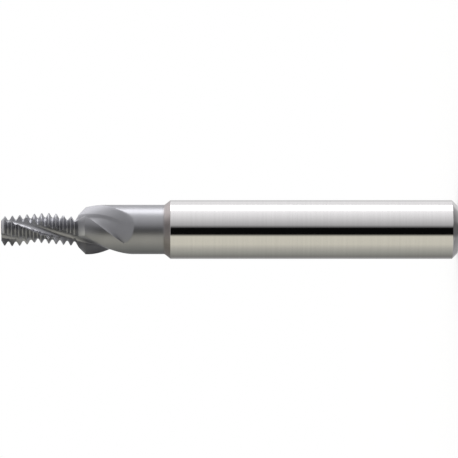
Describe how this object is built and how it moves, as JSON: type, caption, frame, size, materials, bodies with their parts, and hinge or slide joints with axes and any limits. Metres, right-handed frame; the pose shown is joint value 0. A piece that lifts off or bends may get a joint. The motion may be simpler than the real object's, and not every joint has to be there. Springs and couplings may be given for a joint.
{
  "type": "thread mill",
  "caption": "Solid carbide thread mill: bright ground plain shank, coated neck, helically fluted countersink section and ring-tooth thread cutting head.",
  "frame": {"origin": "centre of the shank's flat end face, on the tool axis", "axes": "+Z along the tool axis from the shank end to the cutting tip, +X and +Y across the shank"},
  "size_m": [0.008, 0.008, 0.062],
  "materials": {
    "carbide": "tungsten carbide, ground and polished bright on the shank, satin grey hard coating on the neck and cutting head"
  },
  "bodies": {
    "root": {"thread_mill": "carbide"}
  },
  "joints": []
}
